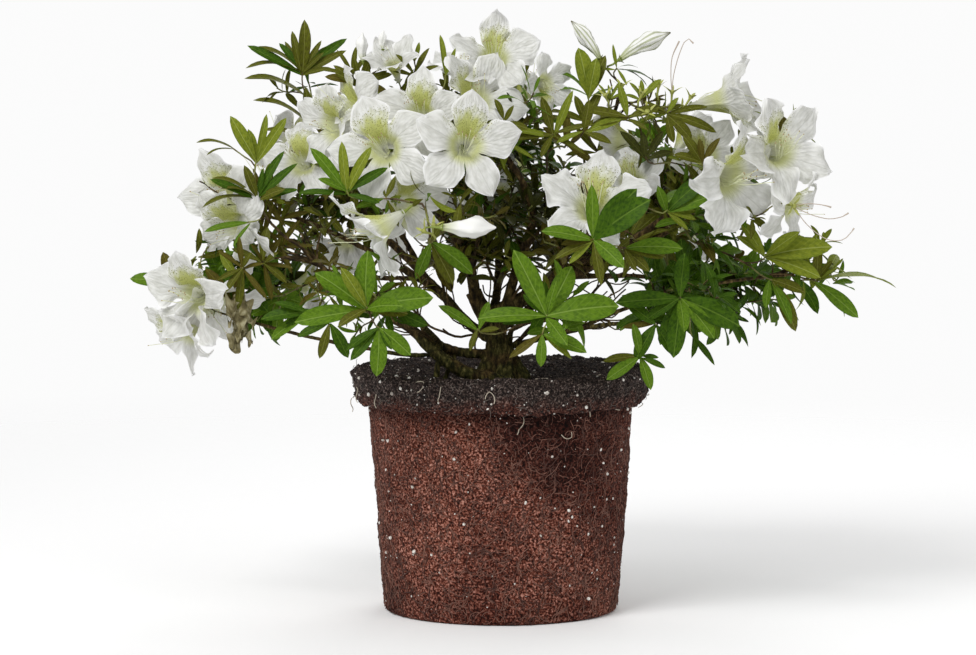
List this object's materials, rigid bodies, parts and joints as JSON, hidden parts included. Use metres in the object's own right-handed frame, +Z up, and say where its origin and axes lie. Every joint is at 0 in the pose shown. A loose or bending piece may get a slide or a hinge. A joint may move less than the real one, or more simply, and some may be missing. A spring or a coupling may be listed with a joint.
{
  "type": "azalea shrub on its root ball",
  "caption": "Low, wide flowering azalea shrub with white funnel blooms and whorled green leaves, standing on a bare pot-shaped root ball.",
  "frame": {"origin": "centre of the root ball's flat underside, on the surface that it stands on", "axes": "+Z up, +X to the right along the crown's longest spread, -Y towards the front, where the low front leaf masses are"},
  "size_m": [0.669, 0.456, 0.526],
  "materials": {
    "rooted_soil": "matte",
    "bark": "matte",
    "leaves": "satin",
    "blossom": "matte"
  },
  "bodies": {
    "root": {"limb_back": "bark", "limb_front_centre": "bark", "limb_front_left_low": "bark", "limb_front_low": "bark", "limb_front_right": "bark", "limb_heart": "bark", "limb_left_back": "bark", "limb_left_front": "bark", "limb_long_low_left": "bark", "limb_low_left": "bark", "limb_low_right": "bark", "limb_right": "bark", "limb_right_back": "bark", "limb_right_low": "bark", "limb_shoulder_left": "bark", "limb_shoulder_right": "bark", "limb_tip_right": "bark", "limb_top_left": "bark", "limb_top_right": "bark", "limb_up_left": "bark", "limb_up_right": "bark", "mass_back_left": "blossom", "mass_back_low_left": "leaves", "mass_back_low_right": "leaves", "mass_back_middle": "blossom", "mass_back_right": "blossom", "mass_crown_heart": "blossom", "mass_crown_left": "blossom", "mass_crown_middle": "blossom", "mass_front_centre": "leaves", "mass_front_left_low": "leaves", "mass_front_middle_low": "leaves", "mass_front_right": "leaves", "mass_left_inner": "leaves", "mass_left_shoulder": "leaves", "mass_low_left_bloom": "blossom", "mass_right_inner": "leaves", "mass_right_low": "leaves", "mass_right_shoulder": "blossom", "mass_right_tip": "leaves", "mass_top_left_shoot": "leaves", "mass_top_right": "leaves", "root_ball": "rooted_soil", "trunk": "bark"}
  },
  "joints": []
}
